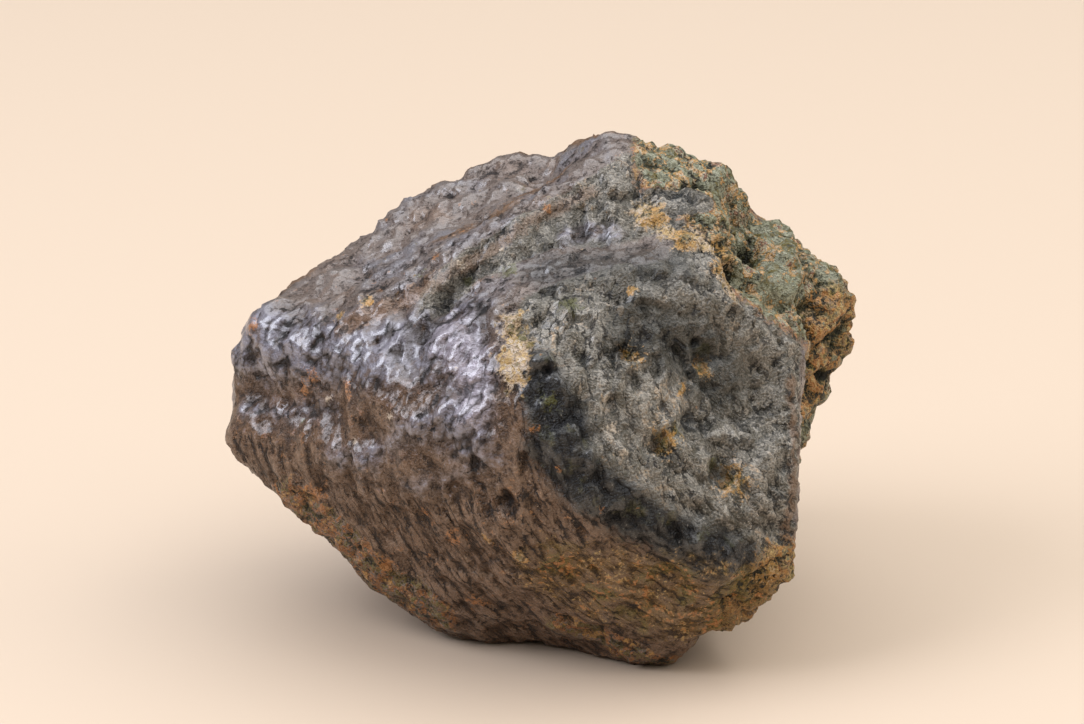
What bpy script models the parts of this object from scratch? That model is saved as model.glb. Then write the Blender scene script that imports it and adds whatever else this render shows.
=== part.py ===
"""Nakhlite meteorite: one wedge-shaped stone, rounded by its fall and broken at one upper corner.

Lengths below are millimetres and become metres at the end. +Z is up and the broad dark face looks
towards -Y. The stone stands on three small flats at z = 0, and its box is centred over the origin.
"""
import bmesh
import bpy
from mathutils import Vector, noise
from mathutils.bvhtree import BVHTree
from mathutils.geometry import intersect_point_line

METRES_PER_MM = 0.001

# Corners of the stone before wear, grouped by the edge or the side that they lie on
LEFT_END = [(-22.8, -0.5, 20.4), (-24.4, -2.9, 13.6), (-21.8, -1.0, 23.4), (-21.8, -4.2, 11.0)]
BACK_EDGE = [(-15.4, 3.0, 27.2), (-10.8, 5.8, 29.4), (-4.8, 8.6, 31.8), (-1.0, 9.0, 33.2)]
SUMMIT = [(6.0, 1.4, 36.2), (8.6, 1.4, 35.8), (11.8, 3.0, 34.2), (15.8, 2.6, 32.6)]
CREST = [(-18.0, -4.0, 23.4), (-10.4, -5.8, 26.8), (-3.6, -4.4, 30.6), (3.6, -2.4, 34.2)]
BAND_TOP = [(-14.2, -6.4, 24.0), (-9.6, -8.2, 26.2), (-5.0, -10.6, 27.8), (-0.8, -13.0, 28.4)]
BAND_FOOT = [(-20.0, -3.6, 18.0), (-15.6, -8.8, 18.8), (-10.2, -13.6, 19.6), (-5.0, -17.4, 20.2)]
SECOND_RIDGE = [(12.0, -10.6, 28.6), (5.7, -10.4, 29.6), (0.8, -12.6, 28.8)]
KEEL = [(-0.4, -16.6, 25.4), (0.2, -19.2, 21.4), (2.4, -20.0, 17.8), (6.0, -20.0, 14.6), (11.0, -18.8, 11.4)]
BELLY = [(-10.4, -13.2, 13.6), (-3.2, -18.0, 13.4), (2.6, -17.8, 9.6)]
LOWER_RIGHT = [(17.6, -15.8, 8.0), (17.6, -13.8, 4.6), (14.0, -13.6, 1.4)]
RIGHT_EDGE = [(15.2, -8.4, 26.4), (18.8, -9.6, 21.0), (18.8, -12.2, 16.0)]
RIGHT_LOBE = [(21.6, 4.0, 25.8), (23.6, 3.6, 23.6), (23.8, 2.2, 20.0), (22.4, -0.6, 17.4), (19.5, 8.0, 24.5)]
FRONT_FOOT = [(9.8, -13.4, -0.8), (7.2, -12.8, -0.8)]
LEFT_FOOT = [(-4.6, -8.6, -0.8), (-8.4, -7.8, 0.2), (-12.4, -5.4, 3.8), (-17.8, -4.4, 8.4)]
BACK = [(-16.5, 10.0, 21.5), (-16.0, 11.5, 13.0), (-5.0, 15.5, 24.0), (6.0, 15.0, 26.5), (14.5, 12.5, 24.0)]
BACK_LOW = [(18.0, 11.5, 15.0), (8.5, 17.5, 14.0), (-4.0, 17.5, 13.0), (-9.5, 12.5, 4.0), (10.5, 12.0, 3.5)]
REAR_FOOT = [(0.5, 12.0, -0.8), (4.5, 11.5, -0.8)]
CORNERS = (
    LEFT_END + BACK_EDGE + SUMMIT + CREST + BAND_TOP + BAND_FOOT + SECOND_RIDGE + KEEL + BELLY
    + LOWER_RIGHT + RIGHT_EDGE + RIGHT_LOBE + FRONT_FOOT + LEFT_FOOT + BACK + BACK_LOW + REAR_FOOT
)

# The skin is a ball split evenly and pushed out from the core onto the block
CORE = Vector((0.5, -1.0, 17.0))
SPLITS_PER_EDGE = 20
WEAR_PASSES = 4

# Valleys and furrows: the line of the bottom, how far the sides reach, and the depth
VALLEYS = {
    "slab": ([(-16.0, -0.5, 26.0), (-8.0, 1.0, 30.0), (-1.0, 2.5, 33.4)], 6.0, 1.4),
    "upper": ([(-5.4, -9.4, 27.6), (-2.9, -8.4, 29.2), (1.4, -7.8, 31.0), (7.2, -6.2, 32.0)], 3.6, 1.1),
    "furrow": ([(-5.2, -8.1, 28.0), (-6.6, -9.3, 27.0), (-7.8, -10.5, 26.0), (-9.2, -11.9, 23.6)], 1.8, 0.9),
    "back notch": ([(1.2, 12.5, 30.0), (0.8, 9.0, 33.4), (0.2, 5.0, 33.8), (-0.8, 2.0, 33.2)], 2.8, 1.1),
    "left waist": ([(-22.5, -2.6, 17.2), (-18.2, -6.4, 18.0), (-15.1, -9.0, 18.4)], 2.8, 0.7),
    "saddle": ([(16.0, -0.5, 30.6), (17.6, 3.0, 29.4)], 4.6, 2.2),
    "right flank": ([(21.5, -4.5, 18.5), (20.0, -8.0, 13.0), (19.5, -8.0, 7.0)], 6.5, 2.6),
    "face trough": ([(8.0, -13.8, 25.6), (11.0, -13.4, 24.0), (14.5, -12.8, 20.5)], 5.6, 1.3),
    "front arch": ([(-1.0, -10.4, 0.2), (3.5, -12.4, 0.4)], 3.6, 0.8),
    "sole": ([(1.5, -3.5, -0.8), (4.5, 0.0, -0.8), (3.0, 4.5, -0.8)], 8.0, 2.4),
    "toe notch": ([(12.4, -14.5, 1.6), (12.0, -9.0, 0.0)], 2.2, 1.8),
}

# Dents and pits: middle, reach and depth
DENTS = {
    "brown dish": ((-12.5, -11.5, 17.0), 4.5, 0.7),
    "ochre pit": ((13.1, -15.6, 16.0), 2.2, 0.8),
    "left end pit": ((-20.6, -3.7, 18.8), 1.8, 0.8),
    "broken pit a": ((14.7, -6.8, 28.0), 2.6, 1.8),
    "broken pit b": ((16.6, -3.0, 28.3), 2.6, 1.8),
    "broken pit c": ((17.2, -5.8, 25.8), 2.2, 1.3),
    "lobe pit": ((20.3, -2.6, 23.9), 2.6, 1.7),
}

# Ridges and lumps: the line of the top, how far the sides reach, and the height
RIDGES = {
    "crest": ([(-13.0, -6.5, 25.2), (-7.2, -6.5, 28.0), (0.0, -4.2, 32.2), (5.8, -2.0, 34.8)], 2.4, 0.5),
    "left streak": ([(-15.5, -9.2, 14.8), (-10.0, -13.2, 16.2)], 2.2, 0.5),
    "edge rim": ([(17.4, -10.0, 22.5), (18.6, -12.0, 16.5), (18.0, -14.6, 9.5)], 1.8, 0.5),
    "island": ([(8.6, -3.8, 33.4), (11.0, -2.8, 33.2)], 2.2, 0.6),
    "left tip": ([(-23.2, -3.0, 14.0)], 2.6, 0.5),
    "lobe knob": ([(22.6, 3.0, 25.0)], 2.4, 0.6),
    "corner knob": ([(17.8, -14.2, 7.6)], 1.6, 0.6),
    "heel knob": ([(-12.4, -5.6, 3.8)], 1.8, 0.5),
}

# Where the crust is broken away: balls that hold the broken skin, and the share that blends
BROKEN = [
    ((13.0, 0.0, 34.0), 6.5),
    ((17.0, -2.0, 28.0), 7.0),
    ((23.0, 4.0, 21.0), 9.0),
    ((21.0, -4.0, 13.0), 6.5),
    ((17.0, -14.5, 4.5), 4.5),
]
BROKEN_MARGIN = 0.25

# Natural unevenness: soft swells, shallow thumbprints in the crust, coarse grains where broken
SWELL_SIZE = 8.0
SWELL_HEIGHT = 0.5
SWELL_OCTAVES = 3
THUMBPRINT_SIZE = 6.0
THUMBPRINT_DEPTH = 0.5
GRAIN_SIZE = 4.2
GRAIN_HEIGHT = 2.0
GRAIN_TOP = 0.5

CRUST_COLOUR = (0.105, 0.085, 0.07, 1.0)
CRUST_ROUGHNESS = 0.55


def block():
    """The stone's convex block, as a search tree for rays."""
    mesh = bmesh.new()
    for corner in CORNERS:
        mesh.verts.new(corner)
    hull = bmesh.ops.convex_hull(mesh, input=mesh.verts)
    bmesh.ops.delete(mesh, geom=hull["geom_interior"], context="VERTS")
    bmesh.ops.recalc_face_normals(mesh, faces=mesh.faces)
    tree = BVHTree.FromBMesh(mesh)
    mesh.free()
    return tree


def skin(tree):
    """An evenly split ball whose points are pushed out from the core onto the block."""
    mesh = bmesh.new()
    bmesh.ops.create_icosphere(mesh, subdivisions=1, radius=1.0)
    bmesh.ops.subdivide_edges(mesh, edges=mesh.edges, cuts=SPLITS_PER_EDGE - 1, use_grid_fill=True)
    for vert in mesh.verts:
        hit = tree.ray_cast(CORE, vert.co.normalized())
        vert.co = hit[0]
    return mesh


def wear(mesh, passes):
    """Round every edge a little."""
    for _ in range(passes):
        bmesh.ops.smooth_vert(
            mesh, verts=mesh.verts, factor=0.5, use_axis_x=True, use_axis_y=True, use_axis_z=True
        )


def distance_to_line(point, line):
    """Shortest way from a point to a line of one or more points."""
    nearest = (point - Vector(line[0])).length
    for start, end in zip(line, line[1:]):
        foot, share = intersect_point_line(point, Vector(start), Vector(end))
        if 0.0 <= share <= 1.0:
            nearest = min(nearest, (point - foot).length)
        nearest = min(nearest, (point - Vector(end)).length)
    return nearest


def ease(distance, reach):
    """One at the middle, falling smoothly to nothing at the reach."""
    share = min(distance / reach, 1.0)
    return (1.0 - share * share) ** 2


def carve(mesh):
    """Cut the valleys and dents and raise the ridges, each along the skin's own normal."""
    mesh.normal_update()
    marks = [(line, reach, -depth) for line, reach, depth in VALLEYS.values()]
    marks += [([middle], reach, -depth) for middle, reach, depth in DENTS.values()]
    marks += [(line, reach, height) for line, reach, height in RIDGES.values()]
    lifts = []
    for vert in mesh.verts:
        lift = sum(height * ease(distance_to_line(vert.co, line), reach) for line, reach, height in marks)
        lifts.append(vert.normal * lift)
    for vert, lift in zip(mesh.verts, lifts):
        vert.co += lift


def brokenness(point):
    """One where the crust is broken away, none on the crust."""
    nearest = min((point - Vector(middle)).length / reach for middle, reach in BROKEN)
    return max(0.0, min(1.0, (1.0 - nearest) / BROKEN_MARGIN))


def thumbprints(point):
    """Shallow round dips, side by side, as melting leaves them."""
    nearest = noise.voronoi(point / THUMBPRINT_SIZE)[0][0]
    return THUMBPRINT_DEPTH * (0.5 - ease(nearest, 1.0))


def grains(point):
    """Flat-topped lumps with furrows between them."""
    nearest, second = noise.voronoi(point / GRAIN_SIZE)[0][:2]
    return GRAIN_HEIGHT * (min(second - nearest, GRAIN_TOP) - GRAIN_TOP / 2)


def relief(point):
    """Natural unevenness at a point: soft on the crust, coarse where it is broken."""
    swell = SWELL_HEIGHT * noise.fractal(point / SWELL_SIZE, 1.0, 2.0, SWELL_OCTAVES)
    broken = brokenness(point)
    return swell + thumbprints(point) * (1.0 - broken) + grains(point) * broken


def weather(mesh):
    """Give the whole skin its natural relief."""
    mesh.normal_update()
    lifts = [vert.normal * relief(vert.co) for vert in mesh.verts]
    for vert, lift in zip(mesh.verts, lifts):
        vert.co += lift


def settle(mesh):
    """Press the lowest spots flat where the stone stands, and centre its box over the origin."""
    for vert in mesh.verts:
        vert.co.z = max(vert.co.z, 0.0)
    middle_x = (min(v.co.x for v in mesh.verts) + max(v.co.x for v in mesh.verts)) / 2
    middle_y = (min(v.co.y for v in mesh.verts) + max(v.co.y for v in mesh.verts)) / 2
    bmesh.ops.translate(mesh, vec=(-middle_x, -middle_y, 0.0), verts=mesh.verts)


def crust_material():
    """Dark brown fusion crust."""
    material = bpy.data.materials.new("crust")
    material.use_nodes = True
    shader = material.node_tree.nodes["Principled BSDF"]
    shader.inputs["Base Color"].default_value = CRUST_COLOUR
    shader.inputs["Roughness"].default_value = CRUST_ROUGHNESS
    shader.inputs["Metallic"].default_value = 0.0
    return material


def stone_object(mesh):
    """The finished stone, in metres."""
    bmesh.ops.scale(mesh, vec=(METRES_PER_MM,) * 3, verts=mesh.verts)
    data = bpy.data.meshes.new("meteorite")
    mesh.to_mesh(data)
    mesh.free()
    data.shade_smooth()
    data.materials.append(crust_material())
    stone = bpy.data.objects.new("meteorite", data)
    bpy.context.scene.collection.objects.link(stone)


def main():
    for old in list(bpy.data.objects):
        bpy.data.objects.remove(old, do_unlink=True)
    mesh = skin(block())
    wear(mesh, WEAR_PASSES)
    carve(mesh)
    weather(mesh)
    settle(mesh)
    stone_object(mesh)


main()
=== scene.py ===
"""Looks of the nakhlite meteorite: its fusion crust, its broken green corner and its rust.

The stone is one piece. Its skin starts from the carried-over solid and is split finely. One node
tree finds where each finish lies and raises the relief, and one material paints the finishes.
Places on the stone are in millimetres, with x to the right, y to the back and z up. The floor, the
lights and how far the camera stands away are in metres.
"""
import math

import bpy
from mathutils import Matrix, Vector


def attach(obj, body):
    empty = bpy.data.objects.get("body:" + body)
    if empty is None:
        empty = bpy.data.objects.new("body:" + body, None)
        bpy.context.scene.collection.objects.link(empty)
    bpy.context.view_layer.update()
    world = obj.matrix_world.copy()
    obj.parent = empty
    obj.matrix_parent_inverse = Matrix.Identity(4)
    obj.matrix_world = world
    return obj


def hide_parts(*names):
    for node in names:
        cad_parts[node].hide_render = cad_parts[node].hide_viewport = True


MM = 0.001

# The camera stands in front of the stone and looks down on it a little
CAMERA_TARGET = Vector((0.0, 1.1, 18.9)) * MM
CAMERA_DISTANCE = 0.320
CAMERA_ELEVATION = math.radians(20.0)
SENSOR_WIDTH = 36.0
LENS = 143.5
NEAREST_SEEN = 0.01

# Soft lights that look at the stone: place, width, power in watts and colour
SOFTBOXES = {
    "window": ((-0.44, -0.13, 0.40), 0.36, 2.9, (0.86, 0.89, 1.0)),
    "roof light": ((0.0, 0.12, 0.62), 0.90, 5.2, (0.95, 0.96, 1.0)),
    "far window": ((0.46, 0.02, 0.42), 0.60, 2.4, (1.0, 0.97, 0.93)),
    "lamp": ((0.10, -0.40, 0.46), 0.40, 0.7, (1.0, 0.97, 0.94)),
}
ROOM_COLOUR = (1.0, 0.97, 0.93, 1.0)
ROOM_STRENGTH = 0.13

FLOOR_SIZE = 3.0
FLOOR_COLOUR = (0.605, 0.485, 0.37, 1.0)
FLOOR_ROUGHNESS = 0.6

# How close points are welded, how often the skin is split, and how often its normals are smoothed
WELD_DISTANCE = 0.01 * MM
SPLIT_LEVELS = 2
SMOOTHING_STEPS = 40

# Arcs run about lines from front to back through these points, and a pattern in arcs is drawn out
# as if they all had one radius
FLOW_CENTRE = (18.0, 0.0, 24.0)
SCORE_CENTRE = (26.0, 0.0, 23.0)
ARC_RADIUS = 18.0

# Where each finish lies, as lines: each is its reach from the line, and the line's points
FOIL = [
    (2.9, [(-21.5, -1.6, 21.4), (-16.8, -5.3, 22.4), (-12.0, -8.6, 23.2), (-8.4, -9.8, 24.2)]),
    (2.3, [(-5.6, -9.6, 26.2), (-4.9, -13.6, 22.8), (-5.6, -15.2, 20.0)]),
    (0.8, [(1.8, -5.2, 30.8), (3.4, -4.8, 31.0), (5.2, -5.0, 30.9)]),
]
FAINT_FOIL = [
    (1.6, [(-21.5, -2.4, 16.8), (-18.4, -4.7, 17.0), (-15.3, -7.0, 18.3)]),
    (1.6, [(-14.6, -9.4, 15.2), (-12.3, -11.0, 16.3), (-9.7, -13.0, 18.6), (-7.2, -14.2, 20.6)]),
    (1.0, [(-9.5, -13.6, 14.6), (-6.0, -15.6, 16.4), (-3.4, -16.9, 18.6)]),
]
# A smooth plate below the wrinkled band, painted pale steel-grey as a painted sheen
SHEEN_PLATE = [(1.9, [(-6.4, -10.6, 25.4), (-5.2, -12.8, 23.8), (-4.4, -14.8, 21.6)])]
CREST = [
    (0.8, [(-14.2, -6.0, 24.1), (-10.2, -6.4, 26.4), (-7.3, -6.4, 27.9), (-3.7, -5.4, 29.8)]),
    (0.7, [(-3.7, -5.4, 29.8), (-0.1, -4.0, 32.0), (3.5, -2.8, 33.5)]),
]
BLACK = [
    (1.8, [(-0.6, -15.8, 24.2), (0.4, -16.8, 22.8), (1.6, -17.6, 20.6)]),
    (1.9, [(0.6, -18.2, 19.4), (3.2, -18.6, 16.8), (7.0, -18.1, 14.0), (10.5, -17.2, 11.4),
           (14.0, -15.6, 9.4)]),
]
SLAB = [(5.2, [(-18.0, 1.0, 23.5), (-11.9, 3.0, 27.0), (-6.8, 4.5, 30.0), (1.0, 3.0, 34.0)])]
STAIN = [(3.0, [(2.0, -16.2, 8.2), (6.0, -16.0, 7.4), (10.0, -15.7, 6.8), (13.2, -14.8, 5.8)])]
DARK_GRAINS = [
    (2.3, [(-17.6, -5.2, 10.2), (-14.4, -6.8, 7.4), (-11.7, -7.0, 4.6), (-8.6, -8.4, 3.2)]),
    (1.4, [(1.5, -12.6, 3.0), (6.0, -13.0, 1.5), (9.0, -11.5, 1.2)]),
]
BROWN_GRAINS = [
    (3.6, [(16.0, -14.0, 5.0), (17.2, -13.6, 7.0)]),
    (3.4, [(22.0, 0.5, 21.5), (20.5, -1.5, 19.0)]),
]
OCHRE_GRAINS = [
    (1.1, [(-2.2, -12.0, 26.8), (-1.8, -14.0, 25.4), (-2.0, -15.3, 23.8)]),
    (0.9, [(7.3, -3.1, 32.4), (8.9, -5.0, 31.2), (11.6, -5.6, 30.4), (13.4, -5.6, 28.8),
           (13.2, -7.6, 27.4)]),
]
CREVICE = [(1.7, [(17.0, -4.0, 26.6), (17.2, 0.5, 26.4), (16.8, 5.0, 26.4)])]
FURROW = [(0.5, [(-4.0, -6.2, 28.8), (-5.9, -6.4, 27.6), (-7.2, -7.9, 25.9), (-8.3, -9.3, 24.4)])]
# Painted shade: the matte face is darkened in the hollow under a step and along its upper part
SHADED = [
    (2.4, [(6.9, -11.8, 26.0), (10.2, -10.9, 24.4), (13.0, -10.8, 22.0)]),
    (2.2, [(0.5, -8.4, 29.4), (4.0, -8.0, 29.4), (8.4, -7.6, 29.2)]),
]
ISLAND = [(1.1, [(8.0, -3.2, 32.8), (11.4, -2.6, 32.6)])]
FACE_EDGE = [(0.5, [(17.9, -8.6, 21.1), (18.2, -11.7, 16.1), (17.6, -13.7, 10.7)])]
BROKEN = [
    ((12.8, 1.1, 34.0), 6.3),
    ((16.8, -0.9, 28.0), 6.6),
    ((22.8, 5.1, 21.0), 10.0),
    ((21.6, -2.8, 13.0), 6.5),
    ((16.9, -13.6, 4.8), 4.6),
]

# Directions that the stone's two front faces look in, and the one its wrinkles run in
FACE_RIGHT = Vector((0.40, -0.79, 0.46)).normalized()
FACE_LOWER = Vector((-0.42, -0.84, -0.30)).normalized()
BEHIND = Vector((0.0, 1.0, 0.0))
UNDER = Vector((0.0, 0.0, -1.0))
WRINKLE_RUN = Vector((0.63, 0.445, 0.636)).normalized()

# Cloudy patterns: a step that sets each apart from the others, its size, detail and roughness
CLOUDS = {
    "ragged": ((0.0, 0.0, 0.0), 2.6, 3.0, 0.6),
    "tone": ((1.0, 4.0, 6.0), 5.0, 3.0, 0.6),
    "face tone": ((7.0, 3.0, 1.0), 4.0, 2.0, 0.5),
    "patches": ((2.0, 9.0, 4.0), 14.0, 4.0, 0.6),
    "bumps": ((3.0, 8.0, 1.0), 2.2, 2.0, 0.5),
    "uneven": ((6.0, 1.0, 2.0), 6.0, 2.0, 0.5),
    "worn": ((1.0, 5.0, 7.0), 1.3, 3.0, 0.6),
    "gravel": ((8.0, 2.0, 5.0), 0.7, 1.0, 0.6),
    "caves": ((4.0, 2.0, 6.0), 2.6, 1.0, 0.5),
    "blotch": ((0.0, 0.0, 0.0), 1.7, 2.0, 0.6),
    "mottle": ((5.0, 1.0, 9.0), 0.55, 2.0, 0.7),
    "grit": ((2.0, 7.0, 4.0), 0.17, 1.0, 0.6),
}

# Long patterns: how long and how wide one of their marks is
WRINKLES = (2.6, 1.5)
COARSE_WRINKLES = (4.4, 2.6)
FLOW = (3.2, 1.1)
FINE_FLOW = (1.8, 0.6)
SCORES = (2.6, 0.9)
CHIPS = (2.8, 1.7)
WRINKLE_SCALES = (1.2, 0.65)
FLOW_SCALES = (1.3, 0.42)
SCORE_SCALES = (1.1, 0.50)
STREAKS = (1.7, 0.36)

# Round patterns: how far apart their middles are
LUMP_SIZE = 1.6
SMALL_LUMP_SIZE = 0.8
GRAIN_SIZE = 0.85

# Single features of the relief, in millimetres
CAVE_DEPTH = 0.9
CREVICE_FILL = 0.8
PIT_DEPTH = 0.5
FURROW_DEPTH = 0.25

# Between which shares of the glossy crust, and of either front face, one run of scales turns
# into another
FOIL_TURN = (0.25, 0.40)
FACE_TURN = (0.40, 0.55)

# How the stone, and the glassy skin over it, bend and scatter light
STONE_IOR = 1.35
GLAZE_ROUGHNESS = 0.20
GLAZE_IOR = 1.7

# How deep each finish's fine crumpling, mottling and grit are, in millimetres
DUSTY_DEPTHS = (0.10, 0.40, 0.14)
FOIL_DEPTHS = (0.19, 0.26, 0.08)
BROWN_DEPTHS = (0.14, 0.30, 0.16)
MATTE_DEPTHS = (0.20, 0.22, 0.20)
BLACK_DEPTHS = (0.26, 0.34, 0.20)
GRAIN_DEPTHS = (0.08, 0.66, 0.20)

# Small marks: a place and a radius
OCHRE_SPOTS = [
    ((8.1, -3.9, 31.7), 1.0),
    ((10.2, -5.6, 30.8), 1.1),
    ((13.1, -4.6, 29.6), 1.2),
    ((12.7, -7.1, 28.9), 0.9),
    ((-12.6, -5.4, 26.0), 0.6),
    ((-14.6, -5.0, 24.6), 0.5),
    ((8.7, -15.3, 19.0), 1.2),
    ((13.6, -13.8, 15.2), 1.4),
    ((11.4, -10.5, 22.7), 0.8),
    ((6.4, -10.5, 28.5), 0.4),
    ((6.3, -13.0, 24.4), 0.9),
    ((15.9, -13.9, 8.4), 1.2),
    ((9.8, -12.3, 21.6), 0.6),
    ((-4.0, -15.6, 11.6), 0.6),
    ((-1.6, -16.2, 10.4), 0.7),
    ((2.9, -5.8, 29.9), 0.3),
]
RUST_SPOTS = [
    ((-0.5, -17.6, 20.7), 0.35),
    ((1.1, -18.3, 18.0), 0.3),
    ((-7.6, -4.3, 29.0), 0.5),
    ((-9.4, -11.0, 20.8), 0.8),
    ((-13.4, -8.4, 20.3), 1.0),
    ((-16.9, -6.0, 20.2), 0.8),
    ((-2.2, -16.7, 13.6), 0.6),
    ((-8.6, -12.9, 12.4), 0.7),
    ((-6.4, -13.4, 10.6), 0.8),
    ((-16.4, -6.9, 11.6), 0.9),
    ((-11.5, -8.2, 6.4), 1.0),
    ((-5.0, -11.4, 4.6), 0.9),
    ((4.0, -18.2, 15.2), 0.4),
    ((-21.0, -1.2, 22.3), 0.6),
    ((-17.4, -5.4, 19.0), 0.6),
    ((0.4, -3.6, 32.3), 0.4),
]
MOSS_SPOTS = [
    ((-2.4, -6.7, 28.6), 0.7),
    ((-5.4, -6.4, 27.9), 0.5),
    ((0.6, -16.9, 22.6), 0.7),
    ((-10.6, -5.6, 26.2), 0.5),
    ((-8.9, -5.0, 28.4), 0.5),
    ((-12.4, -8.1, 6.2), 0.9),
    ((-1.3, -13.5, 26.0), 0.5),
    ((-17.7, -6.2, 17.0), 0.5),
    ((11.5, -10.3, 23.8), 0.6),
    ((1.9, -11.8, 27.8), 0.9),
    ((9.5, -14.9, 19.6), 0.8),
    ((12.4, -14.0, 16.6), 0.8),
    ((-10.4, -12.0, 9.6), 0.8),
]
PALE_SPOTS = [
    ((-15.6, -7.0, 18.9), 0.4),
    ((-13.4, -9.8, 16.7), 0.35),
    ((5.0, -16.6, 20.4), 0.5),
    ((4.4, -15.5, 22.2), 0.4),
    ((5.6, -17.0, 18.8), 0.4),
    ((8.0, -15.7, 18.8), 0.5),
    ((-10.8, -12.2, 19.6), 0.4),
    ((12.9, -14.4, 13.0), 0.5),
    ((13.6, -14.6, 11.8), 0.4),
    ((-5.8, -5.9, 28.9), 0.4),
    ((-2.9, -5.4, 29.9), 0.3),
    ((6.2, -16.1, 17.8), 0.3),
]
PITS = [
    ((11.3, -10.2, 23.5), 1.2),
    ((5.7, -13.3, 24.8), 0.8),
    ((8.3, -15.6, 19.0), 1.0),
    ((12.7, -14.0, 16.0), 1.3),
    ((10.6, -13.6, 20.0), 0.8),
    ((-2.4, -17.0, 14.9), 0.8),
    ((-4.9, -16.6, 17.6), 0.8),
    ((9.6, -8.2, 28.4), 0.9),
    ((19.4, -1.0, 23.0), 1.2),
    ((22.0, -0.6, 22.6), 0.9),
]

# Sockets of a Mix node: its share, its pair of vectors or of colours, and what comes out
MIX_SHARE = 0
MIX_VECTORS = (4, 5)
MIX_VECTOR_OUT = 1
MIX_COLOURS = (6, 7)
MIX_COLOUR_OUT = 2


class Wire:
    """A value that flows through a node tree. Arithmetic on it adds Math nodes."""

    def __init__(self, graph, socket):
        self.graph = graph
        self.socket = socket

    def maths(self, operation, *numbers):
        return self.graph.node("ShaderNodeMath", {"operation": operation}, dict(enumerate(numbers)))

    def __add__(self, other):
        return self.maths("ADD", self, other)

    def __sub__(self, other):
        return self.maths("SUBTRACT", self, other)

    def __mul__(self, other):
        return self.maths("MULTIPLY", self, other)

    def __truediv__(self, other):
        return self.maths("DIVIDE", self, other)

    def __rsub__(self, other):
        return self.maths("SUBTRACT", other, self)

    def __abs__(self):
        return self.maths("ABSOLUTE", self)

    def __neg__(self):
        return self.maths("MULTIPLY", self, -1.0)

    def least(self, other):
        return self.maths("MINIMUM", self, other)

    def most(self, other):
        return self.maths("MAXIMUM", self, other)

    def root(self):
        return self.maths("SQRT", self)

    def held(self):
        """Held between nought and one."""
        return self.graph.node("ShaderNodeClamp", {}, {0: self})

    def rise(self, low, high):
        """Nought below low, one above high, and smooth between."""
        settings = {"interpolation_type": "SMOOTHSTEP"}
        inputs = {"Value": self, "From Min": low, "From Max": high}
        return self.graph.node("ShaderNodeMapRange", settings, inputs)

    __radd__ = __add__
    __rmul__ = __mul__


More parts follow.
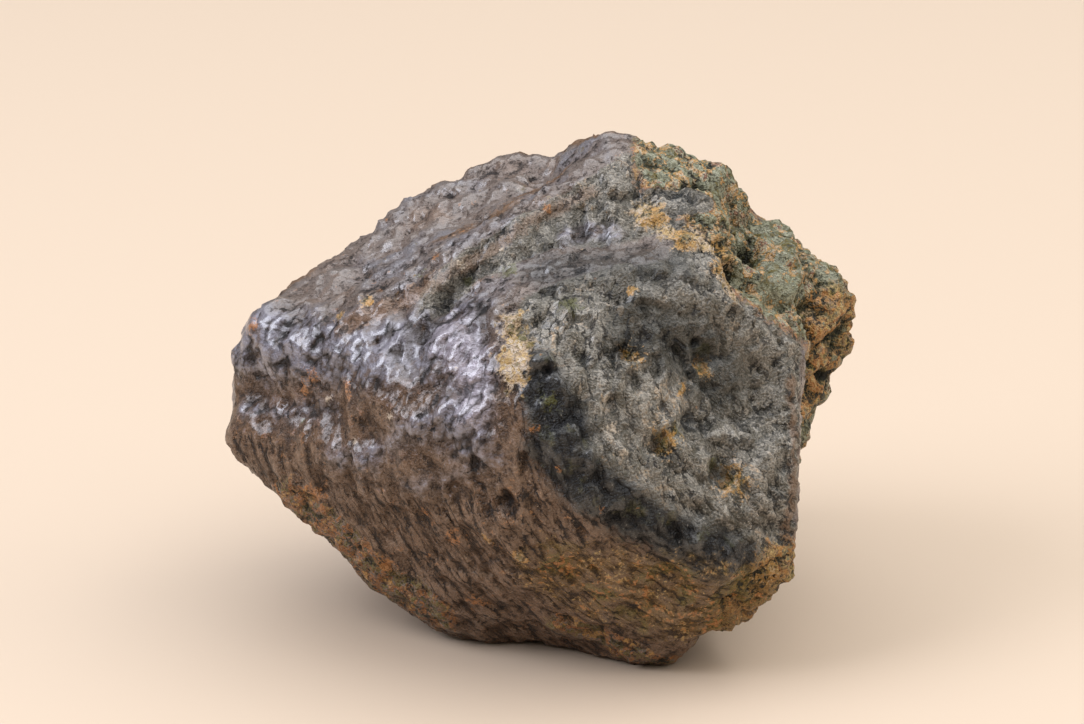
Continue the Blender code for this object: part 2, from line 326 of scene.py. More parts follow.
class Graph:
    """A node tree that is written as Python."""

    def __init__(self, tree):
        self.tree = tree

    def node(self, kind, settings=None, inputs=None, output=0):
        """Add a node, set it, feed its sockets, and give one of its outputs."""
        node = self.tree.nodes.new(kind)
        for name, value in (settings or {}).items():
            if name == "stops":
                self.fill_ramp(node.color_ramp, value)
            else:
                setattr(node, name, value)
        for name, value in (inputs or {}).items():
            if isinstance(value, Wire):
                self.tree.links.new(value.socket, node.inputs[name])
            else:
                node.inputs[name].default_value = value
        return Wire(self, node.outputs[output]) if len(node.outputs) else node

    @staticmethod
    def fill_ramp(ramp, stops):
        """Give a colour ramp its stops, as pairs of place and colour."""
        while len(ramp.elements) < len(stops):
            ramp.elements.new(1.0)
        for element, (place, colour) in zip(ramp.elements, stops):
            element.position = place
            element.color = (*colour, 1.0)

    def vector(self, operation, first, second, output="Vector"):
        return self.node("ShaderNodeVectorMath", {"operation": operation}, {0: first, 1: second}, output)

    def scaled(self, vector, factor):
        return self.node("ShaderNodeVectorMath", {"operation": "SCALE"}, {0: vector, "Scale": factor})

    def moved(self, place, step):
        return self.vector("ADD", place, step)

    def distance(self, place, middle):
        return self.vector("DISTANCE", place, middle, "Value")

    def share_along(self, place, direction):
        return self.vector("DOT_PRODUCT", place, direction, "Value")

    def cloud(self, name):
        """One of the cloudy patterns, from about -0.5 to 0.5."""
        step, size, detail, roughness = CLOUDS[name]
        return self.noise(self.moved(self.place, step), size, detail, roughness)

    def noise(self, place, size, detail=2.0, roughness=0.5, distortion=0.0):
        """Cloudy noise of a given size, from about -0.5 to 0.5."""
        inputs = {
            "Vector": place,
            "Scale": 1.0 / size,
            "Detail": detail,
            "Roughness": roughness,
            "Distortion": distortion,
        }
        return self.node("ShaderNodeTexNoise", {}, inputs) - 0.5

    def pillows(self, place, detail=2.0, roughness=0.5, distortion=0.0):
        """Rounded tops of unit size with sharp creases between them, about one high."""
        return abs(self.noise(place, 1.0, detail, roughness, distortion)) * 3.5 - 0.4

    def stirred(self, place, size, reach):
        """Places that are pushed about, so that a pattern on them isn't regular."""
        inputs = {"Vector": place, "Scale": 1.0 / size, "Detail": 1.0}
        push = self.node("ShaderNodeTexNoise", {}, inputs, "Color")
        push = self.vector("SUBTRACT", push, (0.5, 0.5, 0.5))
        return self.vector("ADD", place, self.scaled(push, reach))

    def lumps(self, place, size):
        """Rounded lumps with creases between them, from nought in a crease to one on top."""
        away = self.cells(place, size)[0]
        return 1.0 - away * away * 1.6

    def cells(self, place, size=1.0):
        """Cells of a size: how far from the middle of one, where that is, and its own numbers."""
        inputs = {"Vector": place, "Scale": 1.0 / size}
        away = self.node("ShaderNodeTexVoronoi", {}, inputs, "Distance")
        outputs = away.socket.node.outputs
        return away, Wire(self, outputs["Position"]), Wire(self, outputs["Color"])

    def facets(self, place, middle, numbers):
        """Flat facets of unit size, each tilted its own way, from about -0.5 to 0.5."""
        offset = self.vector("SUBTRACT", place, middle)
        return self.share_along(offset, self.vector("SUBTRACT", numbers, (0.5, 0.5, 0.5))) * 2.0

    def first_number(self, numbers):
        return self.node("ShaderNodeSeparateXYZ", {}, {0: numbers}, "X")

    def along(self, place, direction, long, wide):
        """Places in which a pattern of unit size runs long in one direction and wide across it."""
        run = self.share_along(place, direction) * (1.0 / long - 1.0 / wide)
        return self.vector("ADD", self.scaled(place, 1.0 / wide), self.scaled(direction, run))

    def round_about(self, place, centre, long, wide):
        """Places in which a pattern of unit size runs in arcs about a line from front to back."""
        offset = self.vector("SUBTRACT", place, centre)
        side = self.node("ShaderNodeSeparateXYZ", {}, {0: offset}, "X")
        depth = self.node("ShaderNodeSeparateXYZ", {}, {0: offset}, "Y")
        above = self.node("ShaderNodeSeparateXYZ", {}, {0: offset}, "Z")
        radius = (side * side + above * above).root()
        angle = side.maths("ARCTAN2", -above, -side)
        inputs = {"X": radius / wide, "Y": depth / wide, "Z": angle * (ARC_RADIUS / long)}
        return self.node("ShaderNodeCombineXYZ", {}, inputs)

    def between(self, first, second, share):
        """A vector mixed from two by a share."""
        inputs = {MIX_SHARE: share, MIX_VECTORS[0]: first, MIX_VECTORS[1]: second}
        return self.node("ShaderNodeMix", {"data_type": "VECTOR"}, inputs, MIX_VECTOR_OUT)

    def to_line(self, place, points):
        """Distance from a line of straight stretches."""
        nearest = None
        for start, end in zip(points, points[1:]):
            run = Vector(end) - Vector(start)
            offset = self.vector("SUBTRACT", place, start)
            share = self.share_along(offset, run / run.length_squared).held()
            distance = self.distance(offset, self.scaled(run, share))
            nearest = distance if nearest is None else nearest.least(distance)
        return nearest


def most_of(shares):
    """The greatest of several shares at each point."""
    best = shares[0]
    for share in shares[1:]:
        best = best.most(share)
    return best


def solid(share):
    """A soft share with a steeper edge."""
    return share.rise(0.35, 0.60)


class Relief(Graph):
    """The node tree that finds the finishes on the skin and raises its relief."""

    def __init__(self, tree):
        super().__init__(tree)
        tree.interface.new_socket(name="Geometry", in_out="INPUT", socket_type="NodeSocketGeometry")
        tree.interface.new_socket(name="Geometry", in_out="OUTPUT", socket_type="NodeSocketGeometry")
        self.skin = self.node("NodeGroupInput")
        self.place = self.scaled(self.node("GeometryNodeInputPosition"), 1.0 / MM)
        self.ragged = self.keep("ragged", self.cloud("ragged") * 2.0)
        normal = {"Value": self.node("GeometryNodeInputNormal"), "Iterations": SMOOTHING_STEPS}
        normal = self.node("GeometryNodeBlurAttribute", {"data_type": "FLOAT_VECTOR"}, normal)
        normal = self.node("ShaderNodeVectorMath", {"operation": "NORMALIZE"}, {0: normal})
        self.looks = self.keep("looks", normal, "FLOAT_VECTOR")

    def keep(self, name, value, kind="FLOAT"):
        """Store a value on the skin under a name, and read it back."""
        settings = {"data_type": kind}
        inputs = {"Geometry": self.skin, "Name": name, "Value": value}
        self.skin = self.node("GeometryNodeStoreNamedAttribute", {**settings, "domain": "POINT"}, inputs)
        return self.node("GeometryNodeInputNamedAttribute", settings, {"Name": name}, "Attribute")

    def stripes(self, name, lines, ragged=0.15, more=0.0):
        """A soft share that is one on any of the lines and a half at its reach."""
        shares = [1.0 - self.to_line(self.place, points) / (2.0 * reach) for reach, points in lines]
        return self.keep(name, (most_of(shares) + self.ragged * ragged).held().most(more))

    def spots(self, name, marks, ragged=0.1):
        """A soft share that is one in the middle of a mark and a half at its edge."""
        shares = [1.0 - self.distance(self.place, middle) / (2.0 * radius) for middle, radius in marks]
        return self.keep(name, (most_of(shares) + self.ragged * ragged).held())

    def facing(self, direction, low, high):
        """A share that is one where the skin looks in a direction."""
        return (self.share_along(self.looks, direction) + self.ragged * 0.04).rise(low, high)

    def find_broken_part(self):
        """Where the crust is gone, apart from one island of it."""
        island = solid(self.stripes("island", ISLAND, 0.1))
        depths = [(radius - self.distance(self.place, middle)) / radius for middle, radius in BROKEN]
        inside = (most_of(depths) * 2.5 + 0.45 + self.ragged * 0.25).held() * (1.0 - island)
        self.broken = solid(self.keep("broken", inside))

    def find_crusts(self):
        """Where each kind of crust lies."""
        # Behind, where no line is drawn, the crust is mostly brown, and glossy in some patches
        behind = self.facing(BEHIND, -0.10, 0.35)
        patches = self.cloud("patches")
        self.matte = self.keep("matte", self.facing(FACE_RIGHT, 0.62, 0.84)).rise(0.2, 0.8)
        self.flowing = self.keep("flowing", self.facing(FACE_LOWER, 0.35, 0.70))
        lower = self.flowing.most(self.facing(UNDER, 0.0, 0.80))
        lower = lower.most((0.09 - patches).rise(-0.06, 0.16) * behind)
        self.lower = self.keep("lower", lower).rise(0.2, 0.8)
        faint = self.stripes("faint_foil", FAINT_FOIL, 0.6) * 0.62
        glossy = faint.most(patches.rise(-0.05, 0.30) * behind)
        self.foil = solid(self.stripes("foil", FOIL, 0.35, glossy))
        self.black = solid(self.stripes("black", BLACK))
        self.slab = solid(self.stripes("slab", SLAB))

    def find_marks(self):
        """Where grains show through the crust, and where the single marks are."""
        dark_grains = solid(self.stripes("dark_grains", DARK_GRAINS))
        brown_grains = solid(self.stripes("brown_grains", BROWN_GRAINS))
        ochre_grains = solid(self.stripes("ochre_grains", OCHRE_GRAINS, 0.3))
        self.grainy = self.broken.most(brown_grains.most(dark_grains) * 0.8).most(ochre_grains * 0.65)
        self.furrow = solid(self.stripes("furrow", FURROW, 0.05))
        self.crevice = solid(self.stripes("crevice", CREVICE))
        self.pits = self.spots("pits", PITS, 0.5).rise(0.40, 0.9)
        self.stripes("plate", SHEEN_PLATE)
        self.stripes("crest", CREST)
        self.stripes("stain", STAIN)
        self.stripes("shaded", SHADED)
        self.stripes("face_edge", FACE_EDGE)
        self.spots("ochre", OCHRE_SPOTS)
        self.spots("rust", RUST_SPOTS)
        self.spots("moss", MOSS_SPOTS)
        self.spots("pale", PALE_SPOTS)

    def store_tones_and_depths(self):
        """The broad changes of tone, and how deep the fine relief is in each finish."""
        self.keep("tone", self.cloud("tone"))
        self.keep("face_tone", self.cloud("face tone"))
        depths = self.between(DUSTY_DEPTHS, BROWN_DEPTHS, self.lower)
        depths = self.between(depths, FOIL_DEPTHS, self.foil)
        depths = self.between(depths, MATTE_DEPTHS, self.matte)
        depths = self.between(depths, BLACK_DEPTHS, self.black)
        self.keep("depths", self.between(depths, GRAIN_DEPTHS, self.grainy), "FLOAT_VECTOR")

    def crust_height(self, bumps, lumps):
        """How high the crust stands, in millimetres."""
        # Wrinkles on the glossy crust lean to the right as they rise
        run = self.stirred(self.along(self.place, WRINKLE_RUN, *WRINKLES), 1.6, 1.0)
        wrinkles = self.lumps(run, 1.0)
        coarse = self.pillows(self.along(self.place, WRINKLE_RUN, *COARSE_WRINKLES), 1.0, 0.4, 0.3)
        # Flow lines in arcs on the brown lower face, and steep scores and chips on the matte face
        flow = self.noise(self.round_about(self.place, FLOW_CENTRE, *FLOW), 1.0, 2.0, 0.5)
        fine_flow = self.stirred(self.round_about(self.place, FLOW_CENTRE, *FINE_FLOW), 2.0, 1.0)
        fine_flow = self.noise(fine_flow, 1.0, 1.0)
        scores = self.noise(self.round_about(self.place, SCORE_CENTRE, *SCORES), 1.0, 2.0, 0.6)
        chips = self.stirred(self.round_about(self.place, SCORE_CENTRE, *CHIPS), 1.5, 0.9)
        chips = self.facets(chips, *self.cells(chips)[1:])
        # A worn skin is flat on top, with hollows in it
        uneven = self.cloud("uneven").rise(-0.16, 0.12)
        worn = self.cloud("worn").least(0.05) * (uneven * 0.9 + 0.4)
        return (
            wrinkles * (0.05 + 0.18 * self.foil + 0.20 * self.black)
            + coarse * (0.04 + 0.20 * self.foil + 0.30 * self.black)
            + (flow * 0.20 + fine_flow * 0.22) * self.flowing
            + scores * 0.45 * self.matte
            + chips * (0.20 + 0.35 * self.matte + 0.15 * self.black)
            + lumps * 0.20 * self.slab
            + bumps * (0.8 + 0.6 * self.slab)
            + worn * (1.0 - 0.50 * self.matte)
        )

    def grain_height(self, bumps, lumps, small_lumps):
        """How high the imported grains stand, in millimetres, with caves where the stone is broken."""
        caves = self.cloud("caves").rise(0.05, 0.22)
        rough = lumps * 0.45 + small_lumps * 0.30 + bumps * 0.9 + self.cloud("gravel") * 0.6 - 0.40
        return rough - caves * CAVE_DEPTH * self.broken * (1.0 - self.crevice)

    def raise_skin(self):
        """Move the skin out along its smoothed normals."""
        bumps = self.cloud("bumps")
        stirred = self.stirred(self.place, 1.2, 0.9)
        lumps = self.lumps(stirred, LUMP_SIZE)
        small_lumps = self.lumps(self.moved(stirred, (2.0, 1.0, 3.0)), SMALL_LUMP_SIZE)
        crust = self.crust_height(bumps, lumps)
        grains = self.grain_height(bumps, lumps, small_lumps)
        height = crust * (1.0 - self.grainy) + grains * self.grainy
        height = height + self.crevice * CREVICE_FILL - self.pits * PIT_DEPTH - self.furrow * FURROW_DEPTH
        # The scaly ridge is a little blunt, so that no thorns stand on it
        blunt = {"Value": height, "Iterations": 1, "Weight": self.black}
        height = self.keep("height", self.node("GeometryNodeBlurAttribute", {"data_type": "FLOAT"}, blunt))
        offset = self.scaled(self.looks, height * MM)
        raised = self.node("GeometryNodeSetPosition", {}, {"Geometry": self.skin, "Offset": offset})
        self.node("NodeGroupOutput", {}, {0: raised})


def relief_tree():
    """Where each finish lies, and how high the skin stands there."""
    relief = Relief(bpy.data.node_groups.new("relief", "GeometryNodeTree"))
    relief.find_broken_part()
    relief.find_crusts()
    relief.find_marks()
    relief.store_tones_and_depths()
    relief.raise_skin()
    return relief.tree


def split_skin(node):
    """A finely split copy of the solid's skin, as one welded mesh."""
    bpy.ops.object.select_all(action="DESELECT")
    stone = bpy.data.objects.new("stone", node.data.copy())
    bpy.context.collection.objects.link(stone)
    stone.data.materials.clear()
    stone.select_set(True)
    bpy.context.view_layer.objects.active = stone
    bpy.ops.object.mode_set(mode="EDIT")
    bpy.ops.mesh.select_all(action="SELECT")
    bpy.ops.mesh.remove_doubles(threshold=WELD_DISTANCE)
    bpy.ops.object.mode_set(mode="OBJECT")
    split = stone.modifiers.new("split", "SUBSURF")
    split.levels = SPLIT_LEVELS
    split.render_levels = SPLIT_LEVELS
    bpy.ops.object.modifier_apply(modifier=split.name)
    return stone


def raise_relief(stone):
    """Apply the relief to the skin, and keep its feet on the floor."""
    relief = stone.modifiers.new("relief", "NODES")
    relief.node_group = relief_tree()
    bpy.ops.object.modifier_apply(modifier=relief.name)
    for vert in stone.data.vertices:
        vert.co.z = max(vert.co.z, 0.0)
    stone.data.shade_smooth()


# Finishes, as linear colours
CRUST_BLACK = (0.010, 0.010, 0.011)
# Steel-greys that stand for a painted sheen and painted glints on the glossy crust
SHEEN_STEEL = (0.216, 0.204, 0.236)
PALE_SHEEN_STEEL = (0.380, 0.340, 0.390)
DUSTY_BROWN = (0.130, 0.085, 0.062)
FOIL_BROWN = (0.035, 0.024, 0.021)
CREST_BROWN = (0.260, 0.165, 0.110)
DUSTY_GREY = (0.180, 0.144, 0.124)
BLUE_GREY = (0.205, 0.192, 0.205)
CRUST_BROWN = (0.182, 0.102, 0.055)
DEEP_BROWN = (0.026, 0.015, 0.009)
FACE_GREY = (0.375, 0.338, 0.285)
FACE_MIDDLE = (0.118, 0.108, 0.086)
FACE_DARK = (0.012, 0.014, 0.012)
PALE_GREEN = (0.32, 0.32, 0.22)
GREY_GREEN = (0.15, 0.155, 0.095)
DARK_GREEN = (0.045, 0.046, 0.020)
OLIVE = (0.150, 0.115, 0.022)
STAIN_BROWN = (0.185, 0.105, 0.026)
MOSS = (0.085, 0.085, 0.020)
OCHRE = (0.47, 0.255, 0.070)
YELLOW = (0.52, 0.345, 0.125)
TAN = (0.48, 0.34, 0.21)
RUST = (0.38, 0.155, 0.042)
RED_BROWN = (0.14, 0.035, 0.015)
PALE = (0.58, 0.48, 0.37)

# Colours of the grains in each part, each from its place on a ramp to the next one's
GREEN_MINERALS = [
    (0.00, DARK_GREEN),
    (0.18, OLIVE),
    (0.32, GREY_GREEN),
    (0.46, PALE_GREEN),
    (0.56, GREY_GREEN),
    (0.64, OCHRE),
    (0.72, TAN),
    (0.78, PALE_GREEN),
    (0.86, RED_BROWN),
    (0.95, TAN),
]
BROWN_MINERALS = [
    (0.00, DEEP_BROWN),
    (0.18, OLIVE),
    (0.32, YELLOW),
    (0.44, CRUST_BROWN),
    (0.52, OCHRE),
    (0.64, RUST),
    (0.76, YELLOW),
    (0.90, GREY_GREEN),
]
DARK_MINERALS = [
    (0.00, DEEP_BROWN),
    (0.20, CRUST_BROWN),
    (0.34, OLIVE),
    (0.46, DUSTY_GREY),
    (0.58, RUST),
    (0.68, CRUST_BROWN),
    (0.80, OCHRE),
    (0.92, DUSTY_GREY),
]
OCHRE_MINERALS = [
    (0.00, DEEP_BROWN),
    (0.22, OLIVE),
    (0.38, TAN),
    (0.50, YELLOW),
    (0.62, PALE),
    (0.74, TAN),
    (0.86, OLIVE),
    (0.97, RUST),
]


class Finish:
    """A colour, how much it is like metal, how much it shines, and how dull it is."""

    def __init__(self, colour, metal, shine, dullness):
        self.colour = colour
        self.metal = metal
        self.shine = shine
        self.dullness = dullness


class Paint(Graph):
    """The material's node tree, in which one finish is laid over another."""

    def __init__(self, tree):
        super().__init__(tree)
        self.place = self.scaled(self.node("ShaderNodeTexCoord", {}, {}, "Object"), 1.0 / MM)
        self.height = self.zone("height")
        self.tone = self.zone("tone")
        self.blotch = self.cloud("blotch")
        self.mottle = self.cloud("mottle")
        self.grit = self.cloud("grit")
        self.edge = self.mottle * 0.9 + self.grit * 0.35
        self.speck = self.mottle * 1.4 + self.grit * 0.7
        self.add_fine_relief(self.add_scales())
        numbers = self.cells(self.stirred(self.place, 1.0, 0.8), GRAIN_SIZE)[2]
        self.grains = self.first_number(numbers) * 0.5 + 0.25 + self.mottle * 0.9 + self.blotch * 0.8

    def add_scales(self):
        """Fine scales, in arcs on the two front faces and with the wrinkles elsewhere."""
        matte, flowing, foil = self.zone("matte"), self.zone("flowing"), self.zone("foil")
        run = self.along(self.place, WRINKLE_RUN, *WRINKLE_SCALES)
        arcs = self.round_about(self.place, FLOW_CENTRE, *FLOW_SCALES)
        run = self.between(run, arcs, flowing.rise(*FACE_TURN) * (1.0 - foil.rise(*FOIL_TURN)))
        arcs = self.round_about(self.place, SCORE_CENTRE, *SCORE_SCALES)
        run = self.between(run, arcs, matte.rise(*FACE_TURN))
        # No scales stand where one run gives way to another
        calm = self.clear_of(foil, FOIL_TURN).most(1.0 - flowing.rise(0.20, 0.40))
        calm = calm.least(self.clear_of(flowing, FACE_TURN)).least(self.clear_of(matte, FACE_TURN))
        run = self.stirred(run, 1.4, 1.1)
        away, middle, numbers = self.cells(run)
        self.scales = 0.65 + (0.35 - away * away * 1.6) * calm
        self.chips = (self.first_number(numbers) - 0.5) * calm
        return self.scales * 0.6 + self.facets(run, middle, numbers) * calm

    def add_fine_relief(self, crumpled):
        """Fine relief in millimetres, flat on top where it is worn, and cracked in some patches."""
        cracks = abs(self.blotch).most(self.tone.rise(-0.08, 0.06) * 0.03).least(0.03)
        worn = (self.mottle + self.grit * 0.2).least(0.10) + cracks * 2.0
        parts = self.node("ShaderNodeCombineXYZ", {}, {"X": crumpled, "Y": worn, "Z": self.grit})
        depths = self.node("ShaderNodeAttribute", {"attribute_name": "depths"}, {}, "Vector")
        self.fine = self.share_along(parts, depths)

    def zone(self, name):
        """One of the values that the relief stored on the skin, such as a finish's share."""
        return self.node("ShaderNodeAttribute", {"attribute_name": name}, {}, "Fac")

    def clear_of(self, share, turn):
        """One away from the place where a share passes the middle of its turn, and nought near it."""
        return (abs(share - sum(turn) / 2.0) * 8.0 - 0.6).held()

    def part(self, name, low=0.40, high=0.58):
        """A finish's share, with an edge that is broken up by the grain."""
        return (self.zone(name) + self.edge * 0.5).rise(low, high)

    def over(self, under, colour, share):
        """A colour laid over another by a share."""
        inputs = {MIX_SHARE: share}
        for slot, value in zip(MIX_COLOURS, (under, colour)):
            inputs[slot] = value if isinstance(value, Wire) else (*value, 1.0)
        return self.node("ShaderNodeMix", {"data_type": "RGBA"}, inputs, MIX_COLOUR_OUT)

    def lay(self, under, top, share):
        """A finish laid over another by a share."""
        rest = 1.0 - share
        return Finish(
            self.over(under.colour, top.colour, share),
            under.metal * rest + share * top.metal,
            under.shine * rest + top.shine * share,
            under.dullness * rest + top.dullness * share,
        )


def dusty_crust(paint):
    """Grey-brown crust with a film of dust, as on the upper slab, and painted shade where it is low."""
    raised = (paint.fine + paint.height * 0.35 + paint.blotch * 0.2).rise(-0.20, 0.22)
    dust = paint.over(DUSTY_GREY, BLUE_GREY, (paint.tone + paint.blotch * 0.4).rise(-0.06, 0.16))
    dust = paint.over(dust, CREST_BROWN, (paint.blotch * 0.5 - paint.tone).rise(0.06, 0.26) * 0.6)
    dusted = raised * (1.0 - (paint.blotch - paint.tone * 0.5).rise(0.14, 0.24) * 0.6)
    # Painted shade: the low parts of the relief are painted deep brown
    colour = paint.over(DEEP_BROWN, DUSTY_BROWN, (raised * 2.2).held())
    colour = paint.over(colour, dust, dusted)
    colour = paint.over(colour, MOSS, (paint.mottle + paint.blotch * 0.9).rise(0.24, 0.36) * 0.5)
    colour = paint.over(colour, RUST, (paint.mottle - paint.blotch * 0.7).rise(0.20, 0.34) * 0.5)
    flecks = (paint.blotch + paint.mottle * 0.7 + paint.grit * 0.3).rise(0.30, 0.40)
    colour = paint.over(colour, OCHRE, flecks * 0.6)
    return Finish(colour, raised * 0.10, raised * 0.90, 0.46 + paint.mottle * 0.3)


def foil_crust(paint):
    """Glossy crust wrinkled like foil, brown in its creases, with a painted steel-grey sheen on its tops.
    """
    raised = (paint.scales * 0.5 + paint.height * 1.2 + paint.mottle * 0.9).rise(0.0, 0.75)
    # Painted sheen: raised tops are painted steel-grey, in part as a metal tint
    colour = paint.over(FOIL_BROWN, SHEEN_STEEL, raised)
    colour = paint.over(colour, DUSTY_BROWN, (paint.blotch - paint.mottle * 0.6).rise(0.02, 0.22) * 0.7)
    # Painted sheen: the smooth plate is painted pale steel-grey, more so on its raised tops
    colour = paint.over(colour, PALE_SHEEN_STEEL, paint.part("plate", 0.25, 0.85) * (0.3 + raised * 0.5))
    return Finish(colour, raised * 0.25, 0.2 + raised * 0.8, 0.40 + paint.mottle * 0.2)


def brown_crust(paint):
    """Dark brown crust with fine flow lines, dark hollows, rusty flecks and painted shade where it is low.
    """
    raised = (paint.fine + paint.height * 0.3).rise(-0.06, 0.22)
    hollows = (paint.blotch + paint.mottle * 0.5).rise(-0.30, -0.14)
    # Painted shade: the low parts of the relief are painted deep brown
    colour = paint.over(DEEP_BROWN, CRUST_BROWN, (raised * 0.7 + 0.3) * (hollows * 0.8 + 0.2))
    flecks = (paint.mottle + paint.blotch * 0.8 + paint.grit * 0.4).rise(0.17, 0.32)
    colour = paint.over(colour, RUST, flecks * 0.5)
    colour = paint.over(colour, TAN, (paint.grit + paint.chips * 0.3).rise(0.24, 0.38) * 0.4)
    # Small glossy curls with painted steel-grey glints, and dark hollows, stand in it near the glossy
    # crust
    near = paint.zone("foil").rise(0.02, 0.35).most(paint.zone("faint_foil").rise(0.10, 0.50))
    glint_curls = (paint.scales + paint.mottle * 1.5 + paint.grit * 0.5).rise(0.85, 1.10) * near
    colour = paint.over(colour, FOIL_BROWN, near * (paint.blotch - paint.mottle).rise(-0.10, 0.20) * 0.6)
    colour = paint.over(colour, SHEEN_STEEL, glint_curls * 0.8)
    return Finish(colour, 0.0, (raised * hollows * 0.8).most(glint_curls), 0.44 + paint.mottle * 0.3)


def matte_crust(paint):
    """Dull grey crust, flat on top with dark hollows, nicks and tan streaks of dust."""
    tone = paint.zone("face_tone")
    broad = tone * 0.6 + paint.height * 0.35 + paint.mottle * 0.35
    pale = (paint.grit * 0.9 + paint.chips * 0.2 + broad * 0.3).rise(-0.16, 0.36)
    colour = paint.over(FACE_DARK, FACE_MIDDLE, broad.rise(-0.30, 0.0))
    colour = paint.over(colour, FACE_GREY, pale)
    veins = 1.0 - abs(paint.blotch + paint.grit * 0.15).rise(0.01, 0.04)
    colour = paint.over(colour, TAN, veins * (tone + paint.chips * 0.3).rise(0.08, 0.25) * 0.4)
    streaks = paint.noise(paint.round_about(paint.place, SCORE_CENTRE, *STREAKS), 1.0, 1.0)
    colour = paint.over(colour, FACE_DARK, (paint.mottle * 0.4 - streaks).rise(0.16, 0.30) * 0.75)
    colour = paint.over(colour, TAN, (streaks + paint.mottle * 0.3 + tone * 0.4).rise(0.28, 0.36) * 0.75)
    return Finish(colour, 0.0, (paint.chips + 0.5).held() * 0.5, 0.48 + paint.grit * 0.3)


def black_crust(paint):
    """Glassy black crust with deep creases and a green cast."""
    raised = (paint.scales * 0.5 + paint.height * 0.8 + paint.mottle + paint.grit * 0.6).rise(0.0, 0.8)
    colour = paint.over(CRUST_BLACK, FACE_MIDDLE, raised * 0.16)
    colour = paint.over(colour, FACE_GREY, (paint.grit + paint.mottle * 0.5).rise(0.20, 0.36) * 0.45)
    colour = paint.over(colour, MOSS, (paint.blotch + paint.mottle * 0.4).rise(0.06, 0.22) * 0.35)
    return Finish(colour, 0.0, raised * 0.7, 0.38 + paint.mottle * 0.2)


def grain_finish(paint, minerals, brightness):
    """Packed mineral grains in the given colours, with painted shade in dark green where they are low."""
    colour = paint.node("ShaderNodeValToRGB", {"stops": minerals}, {"Fac": paint.grains})
    raised = (paint.fine + paint.height * 0.45).rise(-0.22, 0.22)
    # Painted shade: the low parts of the relief are darkened to dark green
    colour = paint.over(DARK_GREEN, colour, (raised * brightness).held())
    return Finish(colour, 0.0, raised * 0.25, 0.50 + paint.grit * 0.4)


def all_finishes(paint):
    """Each kind of crust and of grains, laid where the stone has it."""
    crest = paint.part("crest")
    foil = paint.part("foil", 0.30, 0.75) * (1.0 - crest * 0.7)
    # Brown grains line the edge of the broken part
    rim = paint.part("broken", 0.15, 0.45)
    ochre = (paint.zone("ochre_grains") + paint.mottle * 1.6 + paint.blotch * 1.2).rise(0.40, 0.75)
    finish = dusty_crust(paint)
    finish = paint.lay(finish, brown_crust(paint), paint.part("lower", 0.3, 0.7).most(crest * 0.8))
    finish = paint.lay(finish, matte_crust(paint), paint.part("matte", 0.3, 0.7))
    finish = paint.lay(finish, foil_crust(paint), foil)
    finish = paint.lay(finish, black_crust(paint), paint.part("black", 0.28, 0.68))
    dark = rim.most(paint.part("dark_grains")) * 0.85
    finish = paint.lay(finish, grain_finish(paint, DARK_MINERALS, 1.7), dark)
    finish = paint.lay(finish, grain_finish(paint, GREEN_MINERALS, 1.4), paint.part("broken"))
    finish = paint.lay(finish, grain_finish(paint, BROWN_MINERALS, 1.6), paint.part("brown_grains") * 0.9)
    return paint.lay(finish, grain_finish(paint, OCHRE_MINERALS, 1.6), ochre * 0.9)


def stained(paint, colour):
    """The olive, yellow and rusty stain low on the brown face, and rust flecks all over."""
    blotch, mottle, grit = paint.blotch, paint.mottle, paint.grit
    stain = paint.part("stain", 0.18, 0.60)
    colour = paint.over(colour, STAIN_BROWN, stain * (blotch + mottle + 0.5).rise(0.1, 0.7) * 0.85)
    colour = paint.over(colour, DEEP_BROWN, stain * (mottle * 1.2 - blotch).rise(0.12, 0.30) * 0.8)
    colour = paint.over(colour, OLIVE, stain * (paint.tone + blotch * 0.6).rise(0.02, 0.14) * 0.7)
    yellow = (mottle - paint.tone * 0.8 + grit * 0.4).rise(0.08, 0.24)
    colour = paint.over(colour, YELLOW, stain * yellow * 0.8)
    colour = paint.over(colour, RUST, (stain * 0.7 + blotch * 1.2 + mottle * 2.2).rise(0.88, 1.10) * 0.9)
    return paint.over(colour, OCHRE, stain * (grit + mottle * 0.5).rise(0.18, 0.30) * 0.7)


def marked(paint, colour):
    """Painted shade on the matte face, the pale crest and the single ochre, rust, green and pale marks."""
    speck = paint.speck
    crumbs = paint.over(OLIVE, OCHRE, paint.mottle.rise(-0.10, 0.10))
    crumbs = paint.over(crumbs, PALE, paint.grit.rise(0.05, 0.25) * 0.7)
    edge = (paint.zone("face_edge") + paint.blotch + paint.mottle).rise(0.35, 0.9)
    # Painted shade: the shaded stretches of the matte face are darkened
    colour = paint.over(colour, FACE_DARK, paint.part("shaded", 0.2, 0.8) * 0.65)
    colour = paint.over(colour, CREST_BROWN, (paint.zone("crest") + speck * 0.6).rise(0.45, 0.90) * 0.55)
    colour = paint.over(colour, MOSS, (paint.zone("moss") + speck).rise(0.45, 0.85) * 0.8)
    colour = paint.over(colour, RUST, (paint.zone("rust") + speck).rise(0.50, 0.85) * 0.8)
    colour = paint.over(colour, crumbs, (paint.zone("ochre") + speck).rise(0.45, 0.80) * 0.85)
    colour = paint.over(colour, PALE, (paint.zone("pale") + speck).rise(0.50, 0.85) * 0.8)
    return paint.over(colour, CRUST_BROWN, edge * 0.7)


def painted_crease_shade(paint):
    """The share of pits, furrow and creases whose bottoms are painted dark as painted shade, and dull."""
    dark = (paint.zone("pits") + paint.speck * 0.5).rise(0.60, 1.0).most(paint.part("furrow") * 0.4)
    creases = 1.0 - (paint.fine + paint.height * 0.12).rise(-0.07, 0.05)
    return dark.most(creases * (0.55 + paint.tone.rise(-0.10, 0.10) * 0.35))


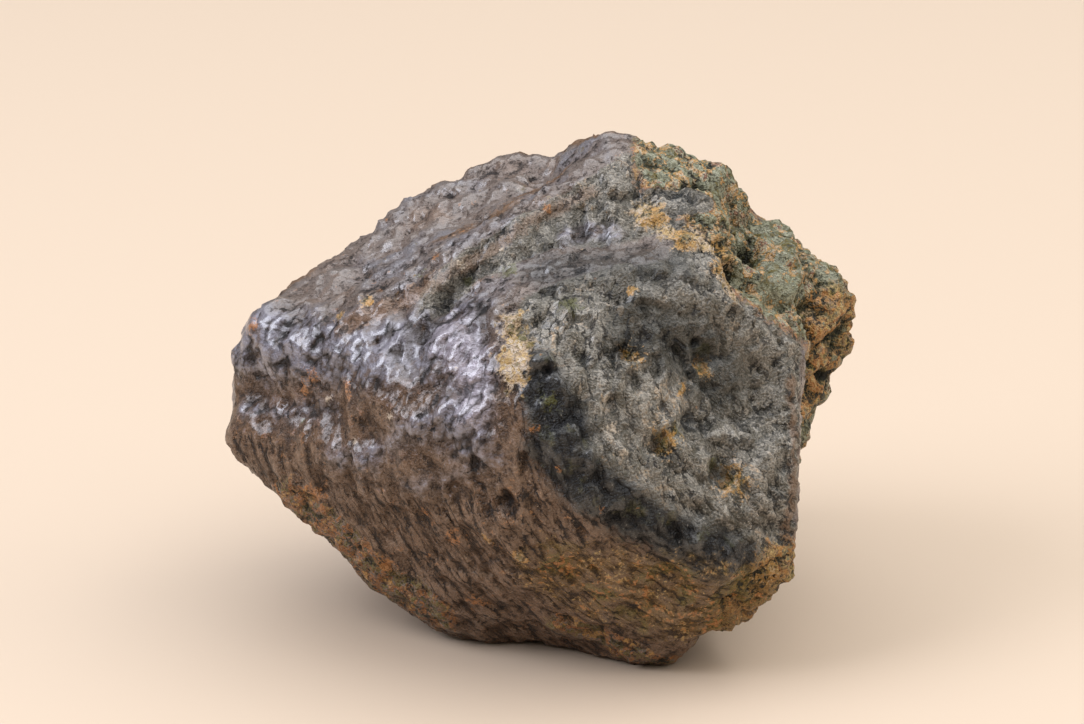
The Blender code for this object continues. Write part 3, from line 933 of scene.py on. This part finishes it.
def stone_material():
    """The stone's finish all over."""
    material = bpy.data.materials.new("crust")
    material.use_nodes = True
    material.node_tree.nodes.clear()
    paint = Paint(material.node_tree)
    finish = all_finishes(paint)
    # Painted shade: the bottoms of pits, furrow and creases are darkened towards black
    dark = painted_crease_shade(paint)
    colour = marked(paint, stained(paint, finish.colour))
    inputs = {
        "Base Color": paint.over(colour, CRUST_BLACK, dark * 0.85),
        "Metallic": finish.metal,
        "Roughness": finish.dullness,
        "IOR": STONE_IOR,
        "Coat Weight": finish.shine * (1.0 - dark),
        "Coat Roughness": GLAZE_ROUGHNESS,
        "Coat IOR": GLAZE_IOR,
        "Normal": paint.node("ShaderNodeBump", {}, {"Distance": MM, "Height": paint.fine}),
    }
    shader = paint.node("ShaderNodeBsdfPrincipled", {}, inputs)
    paint.node("ShaderNodeOutputMaterial", {}, {"Surface": shader})
    return material


def plain_material(name, colour, roughness):
    """One even colour."""
    material = bpy.data.materials.new(name)
    material.use_nodes = True
    shader = material.node_tree.nodes["Principled BSDF"]
    shader.inputs["Base Color"].default_value = colour
    shader.inputs["Roughness"].default_value = roughness
    return material


def lay_floor():
    """A plain pale floor under the stone."""
    bpy.ops.object.select_all(action="DESELECT")
    bpy.ops.mesh.primitive_plane_add(size=FLOOR_SIZE)
    floor = bpy.context.object
    floor.name = "floor"
    floor.data.materials.append(plain_material("floor", FLOOR_COLOUR, FLOOR_ROUGHNESS))


def aim(thing, target):
    """Turn a camera or a light so that it looks at a point."""
    thing.rotation_euler = (target - thing.location).to_track_quat("-Z", "Y").to_euler()


def add_camera():
    """A long lens, a little above the stone."""
    data = bpy.data.cameras.new("camera")
    data.sensor_width = SENSOR_WIDTH
    data.lens = LENS
    data.clip_start = NEAREST_SEEN
    camera = bpy.data.objects.new("camera", data)
    away = Vector((0.0, -math.cos(CAMERA_ELEVATION), math.sin(CAMERA_ELEVATION)))
    camera.location = CAMERA_TARGET + away * CAMERA_DISTANCE
    aim(camera, CAMERA_TARGET)
    bpy.context.scene.collection.objects.link(camera)
    bpy.context.scene.camera = camera


def add_softbox(name, place, size, power, colour):
    """A square soft light that looks at the stone."""
    data = bpy.data.lights.new(name, "AREA")
    data.shape = "SQUARE"
    data.size = size
    data.energy = power
    data.color = colour
    lamp = bpy.data.objects.new(name, data)
    lamp.location = Vector(place)
    aim(lamp, CAMERA_TARGET)
    bpy.context.scene.collection.objects.link(lamp)


def add_light():
    """Soft daylight from above, stronger and cooler from the left, in a bright room."""
    for name, (place, size, power, colour) in SOFTBOXES.items():
        add_softbox(name, place, size, power, colour)
    world = bpy.data.worlds.new("room")
    world.use_nodes = True
    background = world.node_tree.nodes["Background"]
    background.inputs["Color"].default_value = ROOM_COLOUR
    background.inputs["Strength"].default_value = ROOM_STRENGTH
    bpy.context.scene.world = world
    bpy.context.scene.view_settings.view_transform = "Standard"


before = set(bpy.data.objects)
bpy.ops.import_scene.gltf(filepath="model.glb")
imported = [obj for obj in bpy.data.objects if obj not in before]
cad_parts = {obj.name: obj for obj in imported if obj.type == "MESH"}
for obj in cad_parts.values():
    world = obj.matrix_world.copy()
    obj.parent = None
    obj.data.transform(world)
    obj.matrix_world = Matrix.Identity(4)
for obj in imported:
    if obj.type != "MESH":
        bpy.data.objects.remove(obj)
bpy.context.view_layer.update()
stone = split_skin(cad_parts["meteorite"])
raise_relief(stone)
stone.data.materials.append(stone_material())
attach(stone, "root")
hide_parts("meteorite")
lay_floor()
add_camera()
add_light()
